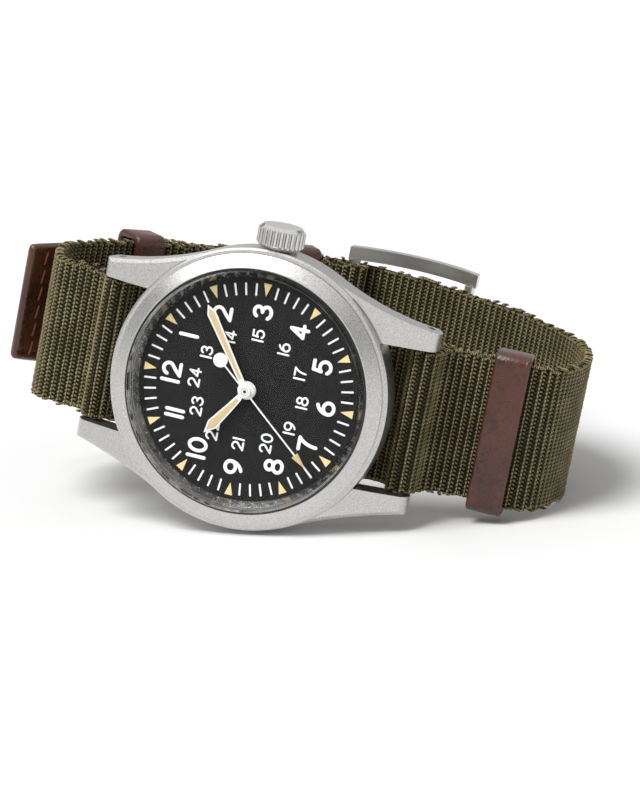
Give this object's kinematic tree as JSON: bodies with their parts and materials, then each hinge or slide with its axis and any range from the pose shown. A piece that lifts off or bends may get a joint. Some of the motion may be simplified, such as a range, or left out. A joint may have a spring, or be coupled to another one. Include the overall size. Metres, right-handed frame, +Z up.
{
  "type": "field watch",
  "caption": "Round field watch with a hand-wound movement on a one-piece ribbed textile strap with leather keepers, buckled and lying on its side",
  "frame": {"origin": "middle of the bounding box's base, on the surface that the watch lies on", "axes": "+Z up through the crown side of the case, +X towards the strap's 6 o'clock side, +Y from the dial to the back of the strap's loop"},
  "size_m": [0.083, 0.065, 0.0417],
  "materials": {
    "blasted_steel": "bead-blasted",
    "polished_steel": "polished",
    "movement_brass": "gilt",
    "movement_steel": "brushed",
    "black_dial": "matt",
    "hand_white": "satin",
    "crystal_glass": "clear",
    "ruby": "clear",
    "seal_rubber": "matt",
    "olive_textile": "ribbed",
    "brown_leather": "satin"
  },
  "bodies": {
    "watch_body": {"case_body": "blasted_steel", "bezel": "blasted_steel", "crystal": "crystal_glass", "crystal_gasket": "seal_rubber", "rehaut_ring": "black_dial", "dial": "black_dial", "case_back": "blasted_steel", "back_gasket": "seal_rubber", "crown_tube": "movement_steel", "main_plate": "movement_brass", "barrel_bridge": "movement_brass", "train_bridge": "movement_brass", "pallet_bridge": "movement_brass", "balance_cock": "movement_brass", "movement_ring": "movement_steel", "casing_clamps": "movement_steel", "movement_screws": "movement_steel", "jewels": "ruby", "hairspring": "movement_steel", "spring_bars": "movement_steel", "plunger_springs": "movement_steel", "strap_long": "olive_textile", "strap_under": "olive_textile", "leather_tip": "brown_leather", "keeper_lug": "brown_leather", "keeper_buckle": "brown_leather", "buckle_frame": "polished_steel"},
    "crown_seal": {"crown_gasket": "seal_rubber"},
    "crown_and_stem": {"crown": "polished_steel", "winding_stem": "movement_steel"},
    "winding_pinion": {"winding_pinion": "movement_steel"},
    "crown_wheel": {"crown_wheel": "movement_steel"},
    "ratchet_and_arbor": {"ratchet_wheel": "movement_steel", "barrel_arbor": "movement_steel"},
    "click": {"click": "movement_steel"},
    "yoke": {"yoke": "movement_steel"},
    "sliding_pinion": {"sliding_pinion": "movement_steel"},
    "setting_lever": {"setting_lever": "movement_steel"},
    "setting_wheel": {"setting_wheel": "movement_steel"},
    "seconds": {"seconds_wheel": "movement_steel", "seconds_hand": "hand_white"},
    "third_wheel": {"third_wheel": "movement_brass"},
    "minutes": {"centre_wheel": "movement_brass", "cannon_pinion": "movement_steel", "minute_hand": "hand_white"},
    "barrel": {"barrel_drum": "movement_brass", "barrel_cover": "movement_brass", "mainspring": "movement_steel"},
    "minute_wheel": {"minute_wheel": "movement_steel"},
    "hours": {"hour_wheel": "movement_steel", "hour_hand": "hand_white"},
    "escape_wheel": {"escape_wheel": "movement_steel"},
    "pallet_fork": {"pallet_fork": "movement_steel"},
    "balance": {"balance_wheel": "movement_brass"},
    "plunger_1": {"plunger_1": "movement_steel"},
    "plunger_2": {"plunger_2": "movement_steel"},
    "plunger_3": {"plunger_3": "movement_steel"},
    "plunger_4": {"plunger_4": "movement_steel"},
    "buckle_tang": {"buckle_tang": "polished_steel"},
    "keeper_free": {"keeper_free": "brown_leather"}
  },
  "joints": [
    {"name": "crown_pull", "type": "slide", "parent": "watch_body", "child": "crown_seal", "axis": [0.2055, 0.0605, 0.9768], "range_m": [0, 0.001]},
    {"name": "crown_turn", "type": "hinge", "parent": "crown_seal", "child": "crown_and_stem", "pos_m": [0.00377, -0.02547, 0.039], "axis": [0.2055, 0.0605, 0.9768], "continuous": true},
    {"name": "winding_pinion_turn", "type": "hinge", "parent": "watch_body", "child": "winding_pinion", "pos_m": [0.00142, -0.02616, 0.02783], "axis": [0.2055, 0.0605, 0.9768], "continuous": true},
    {"name": "crown_wheel_turn", "type": "hinge", "parent": "watch_body", "child": "crown_wheel", "pos_m": [0.00101, -0.02442, 0.02589], "axis": [-0.0124, 0.9982, -0.0592], "continuous": true},
    {"name": "ratchet_turn", "type": "hinge", "parent": "watch_body", "child": "ratchet_and_arbor", "pos_m": [-0.00513, -0.02467, 0.023], "axis": [-0.0124, 0.9982, -0.0592], "continuous": true},
    {"name": "click_lift", "type": "hinge", "parent": "watch_body", "child": "click", "pos_m": [-0.00907, -0.02498, 0.01861], "axis": [0.0124, -0.9982, 0.0592], "range_deg": [0, 12], "stiffness_Nm_per_rad": 0.0001},
    {"name": "yoke_shift", "type": "slide", "parent": "watch_body", "child": "yoke", "axis": [0.2055, 0.0605, 0.9768], "range_m": [-0.0008, 0]},
    {"name": "sliding_pinion_turn", "type": "hinge", "parent": "yoke", "child": "sliding_pinion", "pos_m": [0.00109, -0.02625, 0.02626], "axis": [0.2055, 0.0605, 0.9768], "continuous": true},
    {"name": "setting_lever_swing", "type": "hinge", "parent": "watch_body", "child": "setting_lever", "pos_m": [-0.00057, -0.0272, 0.03097], "axis": [0.0124, -0.9982, 0.0592], "range_deg": [0, 22.05]},
    {"name": "seconds_turn", "type": "hinge", "parent": "watch_body", "child": "seconds", "pos_m": [-0.00031, -0.02897, 0.01961], "axis": [-0.0124, 0.9982, -0.0592], "continuous": true},
    {"name": "third_wheel_turn", "type": "hinge", "parent": "watch_body", "child": "third_wheel", "pos_m": [0.00095, -0.02918, 0.01576], "axis": [-0.0124, 0.9982, -0.0592], "continuous": true},
    {"name": "minutes_turn", "type": "hinge", "parent": "watch_body", "child": "minutes", "pos_m": [-0.00031, -0.02897, 0.01961], "axis": [-0.0124, 0.9982, -0.0592], "continuous": true},
    {"name": "barrel_turn", "type": "hinge", "parent": "watch_body", "child": "barrel", "pos_m": [-0.00508, -0.02881, 0.02324], "axis": [-0.0124, 0.9982, -0.0592], "continuous": true},
    {"name": "minute_wheel_turn", "type": "hinge", "parent": "watch_body", "child": "minute_wheel", "pos_m": [0.00031, -0.02879, 0.02254], "axis": [-0.0124, 0.9982, -0.0592], "continuous": true},
    {"name": "hours_turn", "type": "hinge", "parent": "watch_body", "child": "hours", "pos_m": [-0.00031, -0.02897, 0.01961], "axis": [-0.0124, 0.9982, -0.0592], "continuous": true},
    {"name": "setting_wheel_turn", "type": "hinge", "parent": "watch_body", "child": "setting_wheel", "pos_m": [0.00103, -0.02858, 0.02595], "axis": [-0.0124, 0.9982, -0.0592], "continuous": true},
    {"name": "escape_wheel_turn", "type": "hinge", "parent": "watch_body", "child": "escape_wheel", "pos_m": [0.00376, -0.02895, 0.01911], "axis": [-0.0124, 0.9982, -0.0592], "continuous": true},
    {"name": "pallet_fork_swing", "type": "hinge", "parent": "watch_body", "child": "pallet_fork", "pos_m": [0.00579, -0.0289, 0.01944], "axis": [0.0124, -0.9982, 0.0592], "range_deg": [-4.8, 4.8]},
    {"name": "balance_swing", "type": "hinge", "parent": "watch_body", "child": "balance", "pos_m": [0.00748, -0.02872, 0.02215], "axis": [0.0124, -0.9982, 0.0592], "range_deg": [-270, 270], "stiffness_Nm_per_rad": 0.000000225},
    {"name": "plunger_1_press", "type": "slide", "parent": "watch_body", "child": "plunger_1", "axis": [-0.2055, -0.0605, -0.9768], "range_m": [0, 0.00105], "stiffness_N_per_m": 300, "deforming": ["plunger_springs"]},
    {"name": "plunger_2_press", "type": "slide", "parent": "watch_body", "child": "plunger_2", "axis": [-0.2055, -0.0605, -0.9768], "range_m": [0, 0.00105], "stiffness_N_per_m": 300, "deforming": ["plunger_springs"]},
    {"name": "plunger_3_press", "type": "slide", "parent": "watch_body", "child": "plunger_3", "axis": [0.2055, 0.0605, 0.9768], "range_m": [0, 0.00105], "stiffness_N_per_m": 300, "deforming": ["plunger_springs"]},
    {"name": "plunger_4_press", "type": "slide", "parent": "watch_body", "child": "plunger_4", "axis": [0.2055, 0.0605, 0.9768], "range_m": [0, 0.00105], "stiffness_N_per_m": 300, "deforming": ["plunger_springs"]},
    {"name": "buckle_tang_swing", "type": "hinge", "parent": "watch_body", "child": "buckle_tang", "pos_m": [-0.0013, 0.02703, 0.01635], "axis": [0.2055, 0.0605, 0.9768], "range_deg": [0, 25]},
    {"name": "keeper_free_slide", "type": "slide", "parent": "watch_body", "child": "keeper_free", "axis": [-0.6326, -0.7534, 0.1797], "range_m": [-0.0015, 0.0015]}
  ],
  "couplings": [
    {"joint": "winding_pinion_turn", "follows": "crown_turn", "ratio": 1},
    {"joint": "crown_wheel_turn", "follows": "crown_turn", "ratio": -0.53333},
    {"joint": "ratchet_turn", "follows": "crown_turn", "ratio": 0.28571},
    {"joint": "yoke_shift", "follows": "crown_pull", "ratio": -0.8},
    {"joint": "sliding_pinion_turn", "follows": "crown_turn", "ratio": 1},
    {"joint": "setting_lever_swing", "follows": "crown_pull", "rad_per_m": 384.62},
    {"joint": "third_wheel_turn", "follows": "seconds_turn", "ratio": -0.13333},
    {"joint": "minutes_turn", "follows": "seconds_turn", "ratio": 0.016667},
    {"joint": "barrel_turn", "follows": "seconds_turn", "ratio": -0.002381},
    {"joint": "minute_wheel_turn", "follows": "seconds_turn", "ratio": -0.0055556},
    {"joint": "hours_turn", "follows": "seconds_turn", "ratio": 0.0013889},
    {"joint": "setting_wheel_turn", "follows": "seconds_turn", "ratio": 0.01},
    {"joint": "escape_wheel_turn", "follows": "seconds_turn", "ratio": -12}
  ]
}
